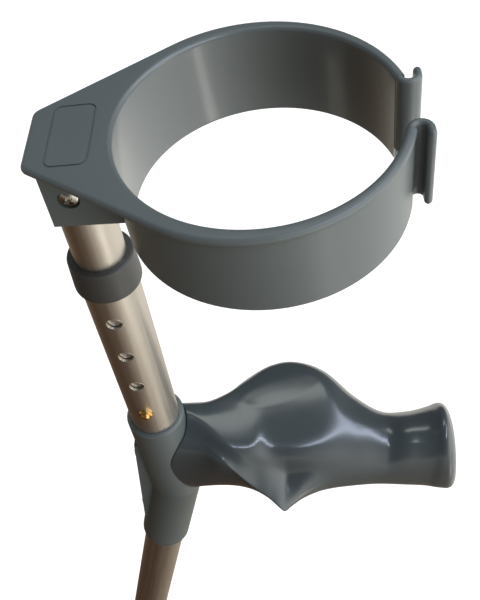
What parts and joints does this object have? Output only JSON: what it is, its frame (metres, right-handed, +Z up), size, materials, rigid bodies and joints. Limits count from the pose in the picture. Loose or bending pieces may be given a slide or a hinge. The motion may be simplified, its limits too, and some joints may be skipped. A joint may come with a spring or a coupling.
{
  "type": "forearm crutch",
  "caption": "Forearm crutch with a ring cuff, an anatomical hand grip, telescoping tubes held by snap buttons, and a rubber ferrule.",
  "frame": {"origin": "centre of the ferrule's foot on the floor, on the axis of the lower tubes", "axes": "+Z up along the lower tubes, +X the way the hand grip and the cuff's mouth point, +Y to the palm rest's side"},
  "size_m": [0.2011, 0.0978, 1.0453],
  "materials": {
    "cuff_plastic": "satin moulded plastic",
    "sleeve_plastic": "satin moulded plastic",
    "grip_plastic": "smooth, softly glossy",
    "collar_plastic": "satin moulded plastic",
    "plug_plastic": "satin moulded plastic",
    "tube_aluminium": "satin anodised",
    "button_brass": "turned",
    "nickel_screw": "nickel plated",
    "dark_screw": "painted",
    "spring_steel": "bright",
    "ferrule_rubber": "matt"
  },
  "bodies": {
    "handle": {"main_tube": "tube_aluminium", "handle_sleeve": "sleeve_plastic", "sleeve_screws": "dark_screw", "hand_grip": "grip_plastic", "upper_collar": "collar_plastic", "lower_collar": "collar_plastic"},
    "cuff": {"arm_cuff": "cuff_plastic", "cuff_screw": "nickel_screw", "cuff_nut": "nickel_screw", "arm_tube": "tube_aluminium", "arm_tube_end": "plug_plastic", "arm_spring": "spring_steel"},
    "arm_button": {"arm_button": "button_brass"},
    "leg": {"leg_tube": "tube_aluminium", "leg_tube_end": "plug_plastic", "leg_spring": "spring_steel", "ferrule": "ferrule_rubber", "ferrule_washer": "spring_steel"},
    "leg_button": {"leg_button": "button_brass"}
  },
  "joints": [
    {"name": "cuff_height", "type": "slide", "parent": "handle", "child": "cuff", "axis": [-0.2419, 0, 0.9703], "range_m": [0, 0.066], "deforming": ["arm_button"]},
    {"name": "arm_button_press", "type": "slide", "parent": "cuff", "child": "arm_button", "axis": [0, 1, 0], "range_m": [0, 0.0042], "stiffness_N_per_m": 2500, "springref_m": -0.002, "deforming": ["arm_spring"]},
    {"name": "leg_height", "type": "slide", "parent": "handle", "child": "leg", "axis": [0, 0, 1], "range_m": [-0.1, 0.1], "deforming": ["leg_button"]},
    {"name": "leg_button_press", "type": "slide", "parent": "leg", "child": "leg_button", "axis": [0, 1, 0], "range_m": [0, 0.0042], "stiffness_N_per_m": 2500, "springref_m": -0.002, "deforming": ["leg_spring"]}
  ]
}
